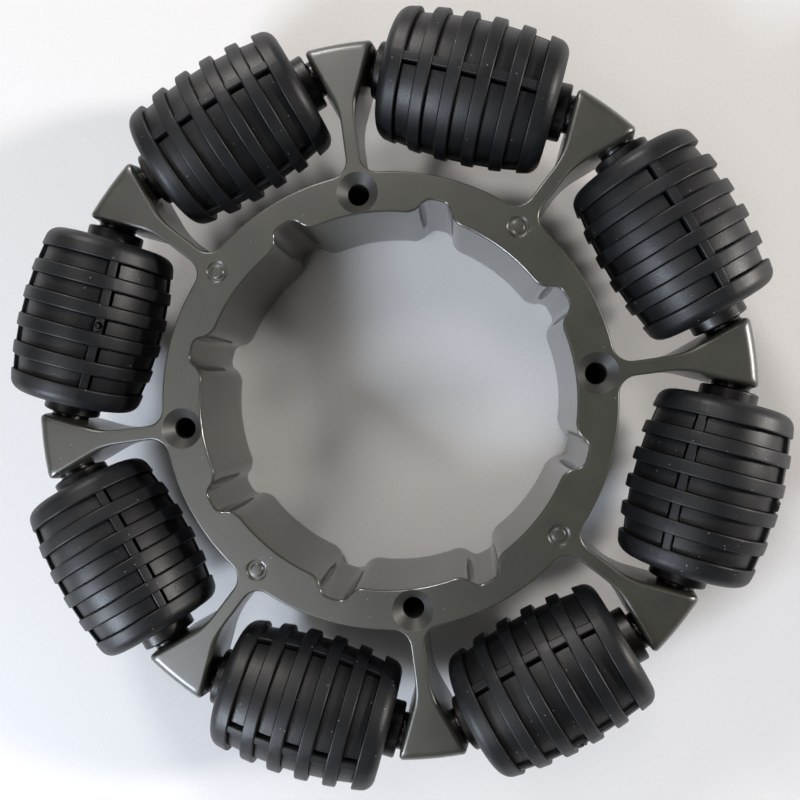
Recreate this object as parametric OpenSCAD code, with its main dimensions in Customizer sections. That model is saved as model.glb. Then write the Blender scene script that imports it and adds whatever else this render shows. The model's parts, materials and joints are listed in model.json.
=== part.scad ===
// One row of an eight-inch-class omni wheel, lying on the back face of its hub.
// A die-cast hub with eight wedge-headed spokes carries eight barrel rollers on
// tangential axles. Z is the wheel axis, z = 0 is the hub's back face, and a
// countersunk spoke points along +X. Millimetres and degrees.

/* [Wheel] */
// Running diameter, over the crowns of the treads
wheel_d = 203; // [200:0.5:206]
// Diameter of a roller over its crown
roller_d = 36.6; // [36:0.1:37.4]

/* [Hub ring] */
// Depth of the ring, back face to front face
hub_depth = 38; // [36:0.5:42]
// Gap between the ring and the rollers
ring_gap = 7.3; // [6.5:0.1:8.5]
// Metal between the tip of a bore lobe and the outside of the ring
lobe_wall = 6.1; // [5.6:0.1:7]
// Depth of the eight bore lobes
lobe_depth = 4.1; // [3.6:0.1:4.6]
// Radius of a lobe's bottom corners
lobe_r = 2.8; // [2.4:0.1:3.2]
// Radius where a lobe's flank runs out into the bore
lobe_run_r = 5; // [4.4:0.1:5.6]
// Half the angle of a lobe's flat tip
lobe_tip_a = 1.3; // [0.8:0.1:1.8]

/* [Fixing holes] */
// Land between a countersink and the bore
csk_land = 0.15; // [0.1:0.05:0.4]
// Through hole for an M5 screw
bolt_hole_d = 5.5; // [5.1:0.1:5.8]
// Countersink at the front face
csk_d = 10.4; // [9.8:0.1:10.6]
// Distance of the four round locating marks from the outside of the ring
mark_in = 3.45; // [3.2:0.05:4]
// Diameter of a locating mark
mark_d = 5.2; // [4.6:0.1:5.6]
// Diameter of the button in the middle of a mark
mark_button_d = 3.1; // [2.4:0.1:3.6]
// Depth of the locating marks
mark_depth = 0.5; // [0.3:0.1:0.8]

/* [Spokes and heads] */
// Depth of a spoke along the wheel axis
spoke_depth = 20; // [18:0.5:22]
// Width of a spoke's neck
neck_w = 3.7; // [3.2:0.1:4.4]
// Fillet between neck and ring
root_r = 4.5; // [3.5:0.5:5.5]
// Fillet between neck and head
flare_r = 20; // [16:1:22]
// Metal behind a head's flank, along the axle
seat_len = 8.06; // [7.8:0.02:8.4]
// How far the heads stay inside the running circle
head_back = 8.8; // [8.2:0.1:9.4]
// Rounding of the heads' outer edges
head_edge_r = 3; // [2:0.25:4]
// Draft of the heads' outer faces
head_draft = 11; // [8:1:13]

/* [Tread] */
// Gap between a tread's end and the head
end_gap = 4.4; // [4.2:0.1:5]
// Rounding of a roller's shoulders
shoulder_r = 3.5; // [2.5:0.25:4]
// Width of a shoulder
shoulder_w = 5.39; // [5:0.01:5.8]
// Width of a groove
groove_w = 3.9; // [3.5:0.1:4.2]
// Radius of the seat under the ribs
seat_r = 12.5; // [11.5:0.1:12.8]
// Width of the four bars that cross the grooves
bar_w = 2.3; // [2:0.1:2.8]
// How far the bars lie below the ribs
bar_drop = 0.5; // [0.2:0.1:0.8]

/* [Core] */
// How far the core's pads lie below the ribs
pad_drop = 1.5; // [1:0.1:2]
// Gap in the core beside a bar
bar_gap = 0.75; // [0.4:0.05:1]
// Bore through the core
core_bore_d = 6.6; // [6:0.1:7.5]
// How far the core's ends lie inside the tread's
core_sink = 0.8; // [0.5:0.1:1.2]

/* [Axle and bushes] */
// Diameter of an axle pin
axle_d = 5; // [4.6:0.1:5]
// How far an axle reaches into a head
axle_bite = 4.6; // [4:0.1:4.8]
// Diameter of a bush flange
flange_d = 14.2; // [13.5:0.1:14.8]
// End play between a flange and its thrust washer
end_play = 0.2; // [0.1:0.05:0.4]
// Diameter of a bush body in the core
bush_d = 9; // [8.4:0.1:10]
// Length of a bush body in the core
bush_len = 9; // [7:0.5:11]
// Diameter of a thrust washer
washer_d = 9.4; // [8:0.1:11]
// Thickness of a thrust washer
washer_t = 1; // [0.8:0.05:1.2]
// Radial clearance of an axle in its bushes
run_gap = 0.05; // [0.03:0.01:0.08]
// Radial clearance of an axle in its seats and washers
seat_gap = 0.02; // [0.01:0.01:0.05]

/* [Hidden] */
$fn = 96;
eps = 0.01;
n = 8;                                  // rollers, spokes and lobes
half = 180 / n;                         // a spoke to the next roller
wheel_r = wheel_d / 2;
crown_r = roller_d / 2;
axis_r = wheel_r - crown_r;             // circle on which the roller axes lie
axis_z = hub_depth - spoke_depth / 2;   // height of the roller axes
head_r = wheel_r - head_back;
ring_r = axis_r - crown_r - ring_gap;
lobe_tip_r = ring_r - lobe_wall;
bore_r = lobe_tip_r - lobe_depth;
bolt_r = bore_r + csk_land + csk_d / 2; // circle of the countersunk holes
mark_r = ring_r - mark_in;
flank_s = axis_r * tan(half) - seat_len;   // roller's middle to the head flank
flange_s = flank_s - washer_t - end_play;  // roller's middle to the flange face
tread_h = flank_s - end_gap;
tread_len = 2 * tread_h;
core_h = tread_h - core_sink;
groove_half = tread_h - shoulder_w;     // where the shoulders begin
groove_pitch = (groove_half - groove_w / 2) / 2;

// Turn of each roller at rest, from outward towards the front, at the bar
// that has its gap behind it. Roller i stands at (i + 1/2) * 45 degrees.
bar_turn = [89.5, 94.5, 82.5, 121, 123.5, 71, 42, 33];
// Which of its two such bars carries the moulding gate
gate_turn = [180, 180, 180, 0, 180, 180, 0, 180];

// ---------- places ----------

// Moves a shape from the roller frame to roller i: there Z runs along the
// roller's axis and X points away from the wheel's axis.
module at_roller(i) {
    rotate([0, 0, (i + 0.5) * 360 / n]) translate([axis_r, 0, axis_z]) rotate([-90, 0, 0]) children();
}

// The same, turned about the roller's axis to the way the roller lies at rest.
module at_turn(i) {
    at_roller(i) rotate([0, 0, -bar_turn[i]]) children();
}

// ---------- hub ----------

// Corners of a bore lobe along +X, on side s: centre of its bottom corner,
// centre of its run-out into the bore, and the point where the two arcs meet.
function lobe_at(s) = let(
    rt = lobe_tip_r - lobe_r,
    ro = bore_r + lobe_run_r,
    reach = lobe_r + lobe_run_r,
    turn = lobe_tip_a + acos((rt * rt + ro * ro - reach * reach) / (2 * rt * ro)),
    tip = rt * [cos(lobe_tip_a), s * sin(lobe_tip_a)],
    out = ro * [cos(turn), s * sin(turn)]
) [tip, out, tip + lobe_r / reach * (out - tip)];

// One bore lobe along +X: a tip on the lobe circle, two bottom corners, and
// two flanks that run out into the bore with a radius of their own.
module lobe() {
    a = lobe_at(-1);
    b = lobe_at(1);
    foot = bore_r / (bore_r + lobe_run_r);
    intersection() {
        circle(lobe_tip_r);
        difference() {
            union() {
                polygon([[0, 0], foot * a[1], a[1], a[2], a[0], a[0] * 1.2, b[0] * 1.2, b[0], b[2], b[1], foot * b[1]]);
                for (c = [a, b]) translate(c[0]) circle(lobe_r);
            }
            for (c = [a, b]) translate(c[1]) circle(lobe_run_r);
        }
    }
}

module bore_outline() {
    circle(bore_r, $fn = 192);
    for (k = [0:n - 1]) rotate((k + 0.5) * 360 / n) lobe();
}

// Fills the corner at p, between unit directions u and v, with a radius r.
module corner_fill(p, u, v, r) {
    m = u + v;
    sine = sqrt((1 - u * v) / 2);
    c = p + m / norm(m) * (r / sine);
    t = r * sqrt(1 - sine * sine) / sine;
    difference() {
        polygon([p, p + u * t, c, p + v * t]);
        translate(c) circle(r);
    }
}

// One spoke along +X: neck, head with flanks square to the roller axes, and
// the fillets at both ends of the neck. The root fillets bite a little into
// neck and ring, so that they cross both instead of grazing them.
module spoke_outline() {
    w = neck_w / 2;
    big = head_r + 3;
    bite = 0.02;
    y_at = function(x) (x * sin(half) - flank_s) / cos(half);
    x_neck = (flank_s + w * cos(half)) / sin(half);
    y_root = w + root_r - bite;
    x_root = sqrt(pow(ring_r + root_r - bite, 2) - pow(y_root, 2));
    translate([ring_r - 4, -w]) square([big - ring_r, neck_w]);
    polygon([[x_neck, -w], [big, -y_at(big)], [big, y_at(big)], [x_neck, w]]);
    for (s = [-1, 1]) {
        corner_fill([x_neck, s * w], [-1, 0], [cos(half), s * sin(half)], flare_r);
        difference() {
            polygon([[x_root, s * (w - 0.5)], [x_root, s * y_root],
                     (ring_r - 1) / (ring_r + root_r) * [x_root, s * y_root],
                     [ring_r - 4, s * (w - 0.5)]]);
            translate([x_root, s * y_root]) circle(root_r);
        }
    }
}

// Envelope of the heads: drafted outer faces with rounded edges. The rounding
// stands back a little from the faces, so that it crosses the chord under it.
module head_envelope() {
    h = spoke_depth / 2;
    r = head_edge_r;
    back = 0.02;
    zc = h - r;
    xc = head_r - (r + zc * sin(head_draft)) / cos(head_draft);
    tip = [xc, zc] + r * [cos(head_draft), sin(head_draft)];
    rotate_extrude($fn = 192) {
        polygon([[0, -h], [xc, -h], [tip[0], -tip[1]], [head_r, 0], tip, [xc, h], [0, h]]);
        for (s = [-1, 1]) translate([xc - back, s * (zc - back)]) circle(r);
    }
}

module spokes() {
    translate([0, 0, axis_z]) intersection() {
        linear_extrude(spoke_depth, center = true) for (k = [0:n - 1]) rotate(k * 360 / n) spoke_outline();
        head_envelope();
    }
}

// Seat of one axle end: a round seat, open through the back of the head so
// that the axle can be laid in.
module axle_seat(i, s) {
    r = axle_d / 2 + seat_gap;
    long = axle_bite + 0.1;
    at_roller(i) {
        translate([0, 0, s > 0 ? flank_s - 0.5 : -flank_s - long]) cylinder(r = r, h = long + 0.5);
        translate([-r, 0, s > 0 ? flank_s - 0.5 : -flank_s - long]) cube([2 * r, spoke_depth, long + 0.5]);
    }
}

// Moulded relief where a lobe's corner meets its flank: deepest at the front
// face, running out about two thirds of the way down.
module relief(k, s) {
    deep = 0.5;
    r = 2.3;
    lean = 46;
    run = hub_depth * 0.64;
    at = lobe_at(s)[2] - (r - deep) * [cos(lean), s * sin(lean)];
    rotate([0, 0, (k + 0.5) * 360 / n]) translate([at[0], at[1], hub_depth])
        rotate([0, 0, s * lean]) rotate([0, atan(deep / run), 0])
            translate([0, 0, -1.1 * run]) cylinder(r = r, h = 1.1 * run + 3);
}

module fixing_hole() {
    cone = (csk_d - bolt_hole_d) / 2;
    translate([bolt_r, 0, -1]) cylinder(d = bolt_hole_d, h = hub_depth + 2);
    translate([bolt_r, 0, hub_depth - cone]) cylinder(d1 = bolt_hole_d, d2 = csk_d, h = cone);
    translate([bolt_r, 0, hub_depth - eps]) cylinder(d = csk_d, h = 1);
}

module locating_mark() {
    translate([mark_r, 0, hub_depth - mark_depth]) difference() {
        cylinder(d = mark_d, h = 1 + mark_depth);
        translate([0, 0, -eps]) cylinder(d = mark_button_d, h = mark_depth * 0.7 + eps);
    }
}

module hub_casting() {
    color([0.36, 0.36, 0.33]) difference() {
        union() {
            cylinder(r = ring_r, h = hub_depth, $fn = 192);
            spokes();
        }
        translate([0, 0, -1]) linear_extrude(hub_depth + 2) bore_outline();
        for (k = [0:3]) rotate([0, 0, k * 90]) {
            fixing_hole();
            rotate([0, 0, 45]) locating_mark();
        }
        for (i = [0:n - 1]) for (s = [-1, 1]) {
            axle_seat(i, s);
            relief(i, s);
        }
    }
}

// ---------- roller ----------

// Half plane section of the barrel from radius r0 outwards, between z0 and z1,
// with its crown let down by drop. The crown follows the wheel's own circle.
module barrel(r0, z0, z1, drop = 0) {
    intersection() {
        translate([-axis_r, 0]) circle(wheel_r - drop, $fn = 360);
        translate([r0, z0]) square([crown_r + 2, z1 - z0]);
    }
}

// Section of one shoulder, with a rounded outer corner.
module shoulder() {
    zc = tread_h - shoulder_r;
    xc = sqrt(pow(wheel_r - shoulder_r, 2) - zc * zc) - axis_r;
    dir = [xc + axis_r, zc] / (wheel_r - shoulder_r);
    t = [-axis_r, 0] + wheel_r * dir;
    difference() {
        barrel(seat_r, groove_half, tread_h);
        polygon([[xc, zc], [xc, zc] + dir * shoulder_r * 3, [xc + 12, tread_h + 6], [xc, tread_h + 6]]);
    }
    intersection() {
        translate([xc, zc]) circle(shoulder_r);
        translate([seat_r, groove_half]) square([10, tread_h]);
    }
}

module gate_mark() {
    at = crown_r - bar_drop;
    translate([at - 1, 0, 0]) rotate([0, 90, 0]) difference() {
        cylinder(d = 2.5, h = 1.25);
        translate([0, 0, 0.65]) cylinder(d = 1.1, h = 1);
    }
}

module tread(i) {
    color([0.16, 0.16, 0.17]) at_turn(i) {
        rotate_extrude($fn = 144) {
            for (k = [-1.5:1:1.5]) barrel(seat_r, (k - 0.5) * groove_pitch + groove_w / 2, (k + 0.5) * groove_pitch - groove_w / 2);
            shoulder();
            mirror([0, 1]) shoulder();
        }
        for (q = [0:3]) intersection() {
            rotate_extrude($fn = 144) barrel(seat_r, -groove_half - 1, groove_half + 1, bar_drop);
            rotate([0, 0, q * 90]) translate([0, -bar_w / 2, -tread_h]) cube([crown_r + 1, bar_w, tread_len]);
        }
        rotate([0, 0, gate_turn[i]]) gate_mark();
    }
}

// The core fills the tread, and stands up in the grooves as pads. Its
// channels leave a gap on the pads' side of every bar of two quarters.
module core(i) {
    color([0.10, 0.10, 0.11]) at_turn(i) difference() {
        union() {
            cylinder(r = seat_r, h = 2 * core_h, center = true);
            difference() {
                rotate_extrude($fn = 144)
                    for (k = [-2:2]) barrel(seat_r - 0.5, k * groove_pitch - groove_w / 2, k * groove_pitch + groove_w / 2, pad_drop);
                for (q = [0:3]) rotate([0, 0, q * 90])
                    translate([0, q % 2 == 0 ? -bar_w / 2 - bar_gap : -bar_w / 2, -tread_h])
                        cube([crown_r + 1, bar_w + bar_gap, tread_len]);
            }
        }
        cylinder(d = core_bore_d, h = tread_len, center = true);
        for (s = [-1, 1]) translate([0, 0, s > 0 ? core_h - bush_len : -tread_len]) cylinder(d = bush_d, h = s > 0 ? tread_len : tread_len - core_h + bush_len);
    }
}

// A flanged bush: the body sits in the core, the flange carries the roller's
// end against the thrust washer.
module bush(i, s) {
    color([0.07, 0.07, 0.08]) at_turn(i) rotate([s > 0 ? 0 : 180, 0, 0]) difference() {
        union() {
            translate([0, 0, core_h - bush_len]) cylinder(d = bush_d, h = bush_len + eps);
            translate([0, 0, core_h]) rotate_extrude() {
                h = flange_s - core_h;
                c = 0.4;
                polygon([[0, 0], [flange_d / 2, 0], [flange_d / 2, h - c], [flange_d / 2 - c, h], [0, h]]);
            }
        }
        translate([0, 0, core_h - bush_len - 1]) cylinder(r = axle_d / 2 + run_gap, h = bush_len + 10);
    }
}

module axle(i) {
    e = 0.4;
    long = flank_s + axle_bite;
    color([0.62, 0.62, 0.62]) at_roller(i) rotate_extrude()
        polygon([[0, -long], [axle_d / 2 - e, -long], [axle_d / 2, -long + e], [axle_d / 2, long - e], [axle_d / 2 - e, long], [0, long]]);
}

module washer(i, s) {
    color([0.45, 0.45, 0.46]) at_roller(i) translate([0, 0, s > 0 ? flank_s - washer_t : -flank_s]) difference() {
        cylinder(d = washer_d, h = washer_t);
        translate([0, 0, -1]) cylinder(r = axle_d / 2 + seat_gap, h = washer_t + 2);
    }
}

// ---------- output ----------

hub_casting();
tread(0);  // tread_0
tread(1);  // tread_1
tread(2);  // tread_2
tread(3);  // tread_3
tread(4);  // tread_4
tread(5);  // tread_5
tread(6);  // tread_6
tread(7);  // tread_7
core(0);  // core_0
core(1);  // core_1
core(2);  // core_2
core(3);  // core_3
core(4);  // core_4
core(5);  // core_5
core(6);  // core_6
core(7);  // core_7
bush(0, -1);  // bush_a_0
bush(1, -1);  // bush_a_1
bush(2, -1);  // bush_a_2
bush(3, -1);  // bush_a_3
bush(4, -1);  // bush_a_4
bush(5, -1);  // bush_a_5
bush(6, -1);  // bush_a_6
bush(7, -1);  // bush_a_7
bush(0, 1);  // bush_b_0
bush(1, 1);  // bush_b_1
bush(2, 1);  // bush_b_2
bush(3, 1);  // bush_b_3
bush(4, 1);  // bush_b_4
bush(5, 1);  // bush_b_5
bush(6, 1);  // bush_b_6
bush(7, 1);  // bush_b_7
axle(0);  // axle_0
axle(1);  // axle_1
axle(2);  // axle_2
axle(3);  // axle_3
axle(4);  // axle_4
axle(5);  // axle_5
axle(6);  // axle_6
axle(7);  // axle_7
washer(0, -1);  // washer_a_0
washer(1, -1);  // washer_a_1
washer(2, -1);  // washer_a_2
washer(3, -1);  // washer_a_3
washer(4, -1);  // washer_a_4
washer(5, -1);  // washer_a_5
washer(6, -1);  // washer_a_6
washer(7, -1);  // washer_a_7
washer(0, 1);  // washer_b_0
washer(1, 1);  // washer_b_1
washer(2, 1);  // washer_b_2
washer(3, 1);  // washer_b_3
washer(4, 1);  // washer_b_4
washer(5, 1);  // washer_b_5
washer(6, 1);  // washer_b_6
washer(7, 1);  // washer_b_7
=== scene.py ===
# %% [markdown]
# One row of an omni wheel, lying flat: a grey die-cast hub carries eight black
# barrel rollers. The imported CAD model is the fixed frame. Each of its pieces is
# made again here as a finer surface, in the same place, with the finish of the
# real material. Lengths are in millimetres until a mesh is made.

# %% Load the frame
import json
import math

import bmesh
import bpy
import numpy as np
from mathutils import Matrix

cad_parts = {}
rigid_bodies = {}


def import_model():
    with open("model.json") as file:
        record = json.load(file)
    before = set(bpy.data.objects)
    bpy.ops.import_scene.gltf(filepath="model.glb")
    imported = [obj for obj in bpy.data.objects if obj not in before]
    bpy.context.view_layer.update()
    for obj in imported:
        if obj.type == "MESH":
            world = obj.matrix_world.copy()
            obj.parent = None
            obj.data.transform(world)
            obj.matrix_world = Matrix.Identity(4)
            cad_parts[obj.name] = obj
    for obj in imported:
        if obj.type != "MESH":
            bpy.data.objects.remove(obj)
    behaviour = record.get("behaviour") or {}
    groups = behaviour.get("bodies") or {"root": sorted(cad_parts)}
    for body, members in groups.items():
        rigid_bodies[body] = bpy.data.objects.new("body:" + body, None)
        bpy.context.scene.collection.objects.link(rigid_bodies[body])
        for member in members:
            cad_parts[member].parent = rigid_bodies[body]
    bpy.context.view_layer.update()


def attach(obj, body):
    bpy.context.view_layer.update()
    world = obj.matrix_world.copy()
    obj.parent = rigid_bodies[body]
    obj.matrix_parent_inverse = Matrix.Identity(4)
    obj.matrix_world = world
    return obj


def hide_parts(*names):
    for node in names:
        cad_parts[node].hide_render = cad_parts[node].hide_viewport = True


for left in list(bpy.data.objects):      # Blender's own first cube, lamp and camera
    bpy.data.objects.remove(left)
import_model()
MM = 0.001
N = 8

# %% [markdown]
# The camera looks almost straight down from close by, as someone does who
# leans over a table. A close camera makes the near parts large and shows the
# inner wall of the far side, so its distance matters more than its lens.

# %% Camera
camera = bpy.data.objects.new("camera", bpy.data.cameras.new("camera"))
bpy.context.scene.collection.objects.link(camera)
bpy.context.scene.camera = camera
camera.location = (0.01895, -0.00015, 0.22345)
camera.rotation_euler = [math.radians(a) for a in (-0.615, 4.641, -7.613)]
camera.data.sensor_width = 36.0
camera.data.lens = 33.525
camera.data.clip_start = 0.01

# %% [markdown]
# Sizes that several pieces share. The wheel's own circle sets the rest: the
# crown of every roller follows it, and the roller axes lie a crown's height
# inside it. A head reaches HEAD_HALF to each side of its spoke's middle, and
# from its flank the gaps lead to the end of the tread and to the flange.

# %% Shared sizes
HALF = math.pi / N                       # a spoke to the next roller
WHEEL_R, CROWN_R = 101.5, 18.3
AXIS_R, AXIS_Z = WHEEL_R - CROWN_R, 28.0
RING_R, TIP_R, BORE_R = 57.6, 51.5, 47.4
HUB_TOP, SPOKE_UNDER = 38.0, 18.0
HEAD_HALF, END_GAP, CORE_STEP, FLANGE_GAP = 8.06, 4.4, 0.8, 1.2
FLANK_S = AXIS_R * math.tan(HALF) - HEAD_HALF      # a roller's middle to the head
TREAD_H, FLANGE_S = FLANK_S - END_GAP, FLANK_S - FLANGE_GAP
CORE_H = TREAD_H - CORE_STEP
BAR_TURN = [89.5, 94.5, 82.5, 121, 123.5, 71, 42, 123]   # how far each roller has turned
GATE_TURN = [180, 180, 180, 0, 180, 180, 0, 90]          # and where its gate is, in degrees
print("head flank at", round(FLANK_S, 3), "mm, tread half length", round(TREAD_H, 3))

# %% [markdown]
# A mesh needs points and faces. Faces of a grid follow from its shape alone,
# so one function makes them for every surface that is a grid, open or closed
# in either direction. Points that lie in the same place, as where two grids
# meet, become one point once the mesh is made.

# %% Grids and pieces
MERGE = 0.0005                           # points closer than this are one


def grid_faces(rows, cols, wrap_rows=False, wrap_cols=False):
    """Quads of a rows x cols grid: each joins a point, its neighbour along the
    row, and the two points above them. A wrapped side joins last to first."""
    r = np.arange(rows if wrap_rows else rows - 1)[:, None]
    c = np.arange(cols if wrap_cols else cols - 1)[None, :]
    r2, c2 = (r + 1) % rows, (c + 1) % cols
    quads = np.stack([r * cols + c, r * cols + c2, r2 * cols + c2, r2 * cols + c], -1)
    return quads.reshape(-1, 4)


def join(parts):
    """Points and faces of several shapes as one list of each: the faces of
    each shape count on from the points of those before it."""
    points, faces, start = [], [], 0
    for p, f in parts:
        points.append(p)
        faces.append(f + start)
        start += len(p)
    return np.concatenate(points), np.concatenate(faces)


print("faces of a closed 3 x 4 tube:", len(grid_faces(3, 4, wrap_cols=True)))


# %% Objects from points
def raw_mesh(name, points, faces):
    """Object at the origin from points in mm and lists of face corners."""
    mesh = bpy.data.meshes.new(name)
    mesh.from_pydata((points * MM).tolist(), [], [list(f) for f in faces])
    obj = bpy.data.objects.new(name, mesh)
    bpy.context.scene.collection.objects.link(obj)
    return obj


def clean(obj):
    """Merges doubled points, drops faces that fold to nothing, with the edges
    and points they leave behind, and turns all faces outwards."""
    bm = bmesh.new()
    bm.from_mesh(obj.data)
    bmesh.ops.remove_doubles(bm, verts=bm.verts, dist=MERGE * MM)
    bmesh.ops.dissolve_degenerate(bm, edges=bm.edges, dist=1e-8)
    bmesh.ops.recalc_face_normals(bm, faces=bm.faces)
    wires = [e for e in bm.edges if not e.link_faces]
    bmesh.ops.delete(bm, geom=wires, context="EDGES")
    loose = [v for v in bm.verts if not v.link_faces]
    bmesh.ops.delete(bm, geom=loose, context="VERTS")
    bm.to_mesh(obj.data)
    bm.free()
    obj.data.shade_smooth()
    return obj


def count(obj):
    """Triangles of a mesh, and how many of its edges aren't shared by two faces."""
    bm = bmesh.new()
    bm.from_mesh(obj.data)
    tris = sum(len(f.verts) - 2 for f in bm.faces)
    open_edges = sum(1 for e in bm.edges if len(e.link_faces) != 2)
    bm.free()
    return tris, open_edges


# %% [markdown]
# The hub is a die casting, so nothing on it is sharp that the mould could
# round: every edge of the front face has a small radius, and the outer faces
# of the heads lean back by a draft angle on both sides of the parting plane.
# Its outline is made of arcs and lines that touch each other smoothly. If the
# outline is worked out again for each level, with each stretch moved in by the
# amount its edge radius takes there, then the stack of outlines is the casting
# with its rounded edges.


# %% Sizes of a spoke, and arcs
NECK_W, ROOT_R, FLARE_R, CORNER_R = 1.85, 4.5, 20.0, 1.0
SIN, COS = math.sin(HALF), math.cos(HALF)
ROOT_Y = NECK_W + ROOT_R                 # centre and angle of the root fillet
ROOT_X = math.sqrt((RING_R + ROOT_R) ** 2 - ROOT_Y ** 2)
ROOT_A = math.atan2(ROOT_Y, ROOT_X)
RING_PTS = 15                            # points on the ring beside one spoke


def arc(centre, radius, start, stop, n):
    """n points on a circle, from angle start to angle stop. The radius is one
    number, or n of them for a circle that grows on its way."""
    a = np.linspace(start, stop, n)
    return np.stack([centre[0] + radius * np.cos(a), centre[1] + radius * np.sin(a)], -1)


print("root fillet meets the ring at", round(math.degrees(ROOT_A), 2), "degrees")


# %% Half a spoke, and the whole outline
def half_outline(ring_in, neck_in, flank_in, outer_r):
    """Half a spoke from the middle of the ring's gap to the middle of the head:
    ring arc, root fillet, neck line, flare arc, flank line, corner, outer arc.
    The three in-values move the ring, the neck and the flank into the metal."""
    ring = arc((0, 0), RING_R - ring_in, HALF, ROOT_A, RING_PTS)[:-1]
    u = np.linspace(0, 1, 11)
    root = arc((ROOT_X, ROOT_Y), ROOT_R + ring_in + (neck_in - ring_in) * u,
               ROOT_A + math.pi, 1.5 * math.pi, 11)
    x_neck = (FLANK_S + NECK_W * COS) / SIN
    reach = FLARE_R * math.tan(HALF / 2)
    flare_c = (x_neck - reach, NECK_W + FLARE_R)
    w = np.linspace(0, 1, 17)
    blend = w * w * (3 - 2 * w)
    flare = arc(flare_c, FLARE_R + neck_in + (flank_in - neck_in) * blend,
                1.5 * math.pi, 1.5 * math.pi + HALF, 17)
    neck = root[-1] + (flare[0] - root[-1]) * np.linspace(0, 1, 7)[1:-1, None]
    q = FLANK_S + flank_in + CORNER_R
    along = math.sqrt((outer_r - CORNER_R) ** 2 - q * q)
    centre = q * np.array([SIN, -COS]) + along * np.array([COS, SIN])
    a_out = math.atan2(centre[1], centre[0])
    corner = arc(centre, CORNER_R, math.pi / 2 + HALF, a_out, 9)
    flank = flare[-1] + (corner[0] - flare[-1]) * np.linspace(0, 1, 7)[1:-1, None]
    outer = arc((0, 0), outer_r, a_out, 0, 12)[1:]
    return np.concatenate([ring, root, neck, flare, flank, corner, outer])


def eight_times(sector, first):
    """The sector turned to each of the eight places, from the last to the
    first, as one row of points. first is the first place's turn, in steps."""
    a = (np.arange(N)[::-1, None] + first) * 2 * HALF
    x, y = sector[:, 0], sector[:, 1]
    turned_x, turned_y = np.cos(a) * x - np.sin(a) * y, np.sin(a) * x + np.cos(a) * y
    return np.stack([turned_x, turned_y], -1).reshape(-1, 2)


def outline(ring_in, neck_in, flank_in, outer_r):
    """The closed outline: the half spoke, its mirror image, eight times round."""
    half = half_outline(ring_in, neck_in, flank_in, outer_r)
    return eight_times(np.concatenate([half, half[-2:0:-1] * [1, -1]]), 0)


print("points on the whole outline:", len(outline(0, 0, 0, 92)))

# %% [markdown]
# The amount that an edge radius takes at a depth t under the face is that of a
# quarter circle: r less the square root of r squared less (r - t) squared. The
# heads' outer faces lean by their draft and then turn over with a larger
# radius, because fingers and floors meet them first.


# %% Levels of the hub
EDGE_RING, EDGE_FLANK, EDGE_HEAD, EDGE_UNDER, EDGE_FOOT = 0.6, 1.15, 3.0, 0.5, 1.0
HEAD_R, HEAD_DEEP, DRAFT = 92.7, 10.0, math.radians(11)
SEAM_OUT, SEAM_HALF = 0.06, 0.2          # the fin at the parting plane


def edge_in(t, r):
    """How far a rounded edge of radius r stands in at depth t under its face."""
    t = np.clip(t, 0, r)
    return r - np.sqrt(np.maximum(r * r - (r - t) ** 2, 0))


def head_reach(z):
    """Radius of the heads' outer faces at height z: a cone on each side of the
    parting plane, then a quarter turn of the edge radius."""
    d = abs(z - AXIS_Z)
    zc = HEAD_DEEP - EDGE_HEAD
    xc = HEAD_R - (EDGE_HEAD + zc * math.sin(DRAFT)) / math.cos(DRAFT)
    if d > zc + EDGE_HEAD * math.sin(DRAFT):
        return xc + math.sqrt(max(EDGE_HEAD ** 2 - (d - zc) ** 2, 0))
    return HEAD_R - d * math.tan(DRAFT)


TOP_STEPS = [0, .02, .06, .12, .2, .32, .5, .75, 1.1, 1.5, 2, 2.5, 3.2]
top_levels = [HUB_TOP - t for t in TOP_STEPS]
mid_levels = [31.5, 28.25, 28.08, 28.0, 27.92, 27.75, 24.5]
under_levels = [SPOKE_UNDER + t for t in TOP_STEPS[::-1]]
stack = []
for z in top_levels + mid_levels + under_levels:
    top_t, low_t = HUB_TOP - z, z - SPOKE_UNDER
    low = edge_in(low_t, EDGE_UNDER)
    seam = SEAM_OUT * max(0, 1 - abs(z - AXIS_Z) / SEAM_HALF)
    level = outline(edge_in(top_t, EDGE_RING), edge_in(top_t, EDGE_RING) + low,
                    edge_in(top_t, EDGE_FLANK) + low, head_reach(z) + seam)
    stack.append(np.column_stack([level, np.full(len(level), z)]))
stack = np.array(stack)
print("hub stack:", stack.shape)

# %% [markdown]
# Under the spokes the ring goes on down alone. Its wall uses the same points
# as the outline wherever the outline is the ring, and its own points behind
# each spoke, so the two join without a gap.

# %% Ring wall under the spokes
sector_angles = np.concatenate([np.linspace(HALF, ROOT_A, RING_PTS),
                                np.linspace(ROOT_A, -ROOT_A, 7)[1:-1],
                                np.linspace(-ROOT_A, -HALF, RING_PTS)[:-1]])
wall_angles = (np.arange(N)[::-1, None] * 2 * HALF + sector_angles).ravel()
foot_levels = [t for t in TOP_STEPS[::-1] if t < 1.2]
low_levels = np.array([SPOKE_UNDER, 12.0, 6.0] + foot_levels)
wall_r = RING_R - edge_in(low_levels, EDGE_FOOT)
wall = np.stack([wall_r[:, None] * np.cos(wall_angles), wall_r[:, None] * np.sin(wall_angles),
                 np.repeat(low_levels[:, None], len(wall_angles), 1)], -1)
print("ring wall:", wall.shape)

# %% [markdown]
# The bore is a circle with eight shallow lobes, which let the ring snap over a
# drum or a second row. Each lobe has two tight corners and runs out into the
# bore with a larger radius. Beside each corner the wall has a shallow leaf, as
# a thin ball-ended cutter leaves it when it dips in and comes out again: round
# at both ends and deepest a third of the way down. Every point of the outline
# carries the direction that leads into the metal, so that edge radii and leaves
# are steps along it. At the foot a narrow bevel leads the drum in.

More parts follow.
